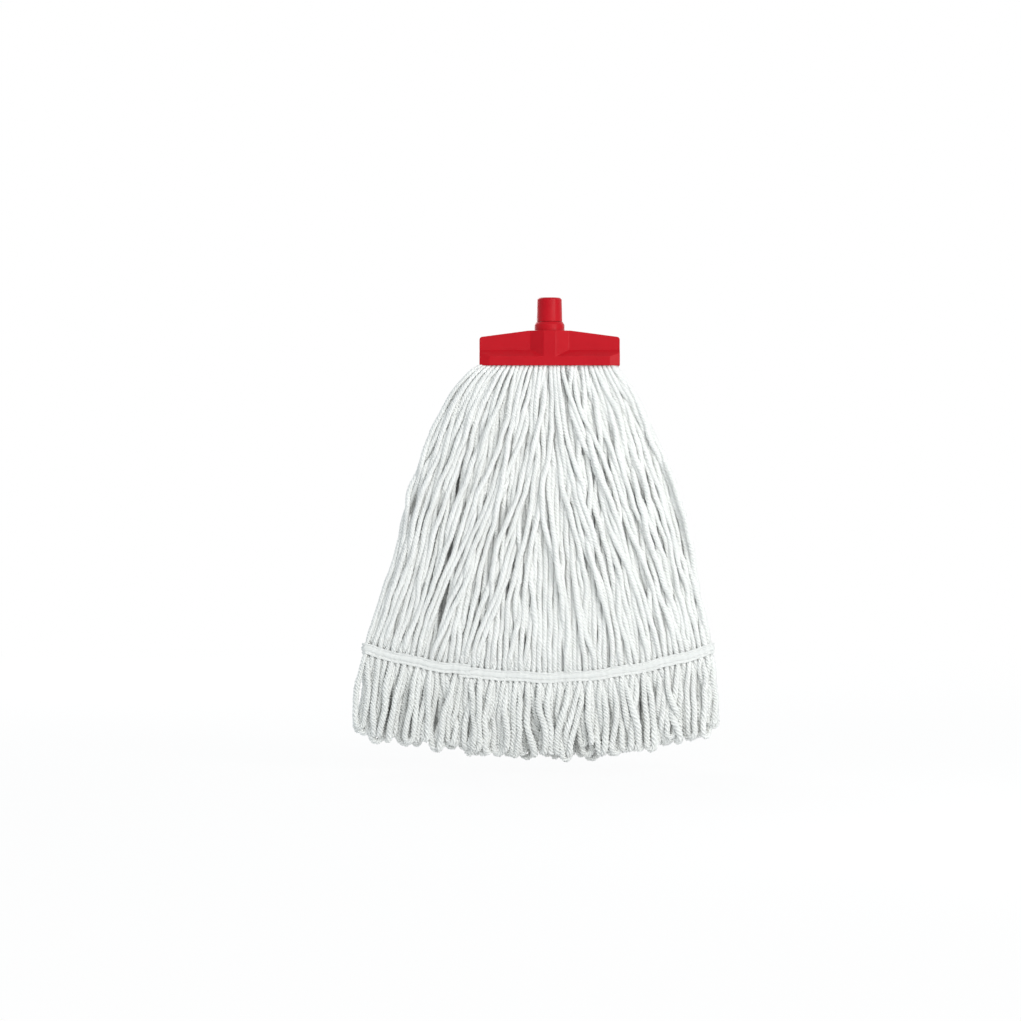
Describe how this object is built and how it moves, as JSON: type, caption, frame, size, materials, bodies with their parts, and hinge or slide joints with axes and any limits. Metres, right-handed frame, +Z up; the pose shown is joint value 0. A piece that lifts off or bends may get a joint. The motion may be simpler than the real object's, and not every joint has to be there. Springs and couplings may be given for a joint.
{
  "type": "string mop head",
  "caption": "Red plastic mop head with a round handle spigot, clamping a fan of white looped yarn that swings below it and is tied by a sewn tail band.",
  "frame": {"origin": "on the spigot's axis, where the spigot meets the top of its collar", "axes": "+Z up the handle, -Y to the front of the head, X along the mouth of the head"},
  "size_m": [0.3705, 0.0338, 0.461],
  "materials": {
    "head_plastic": "injection moulded red plastic with a low satin gloss",
    "pin_nylon": "natural nylon dowel",
    "yarn": "white plied mop yarn, soft twist",
    "tape": "white woven tape with sewn rows"
  },
  "bodies": {
    "head": {"front_shell": "head_plastic", "rear_shell": "head_plastic", "handle_spigot": "head_plastic", "headband_pin_1": "pin_nylon", "headband_pin_2": "pin_nylon", "headband_pin_3": "pin_nylon", "headband_pin_4": "pin_nylon", "headband_tape": "tape", "yarn_root": "yarn"},
    "skirt": {"front_strings_1": "yarn", "front_strings_2": "yarn", "front_strings_3": "yarn", "front_strings_4": "yarn", "front_strings_5": "yarn", "front_strings_6": "yarn", "front_strings_7": "yarn", "rear_strings_1": "yarn", "rear_strings_2": "yarn", "rear_strings_3": "yarn", "rear_strings_4": "yarn", "rear_strings_5": "yarn", "rear_strings_6": "yarn", "rear_strings_7": "yarn", "tail_band_front": "tape", "tail_band_rear": "tape"}
  },
  "joints": [
    {"name": "skirt_swing", "type": "hinge", "parent": "head", "child": "skirt", "pos_m": [0, 0, -0.054], "axis": [1, 0, 0], "range_deg": [-60, 60]}
  ]
}
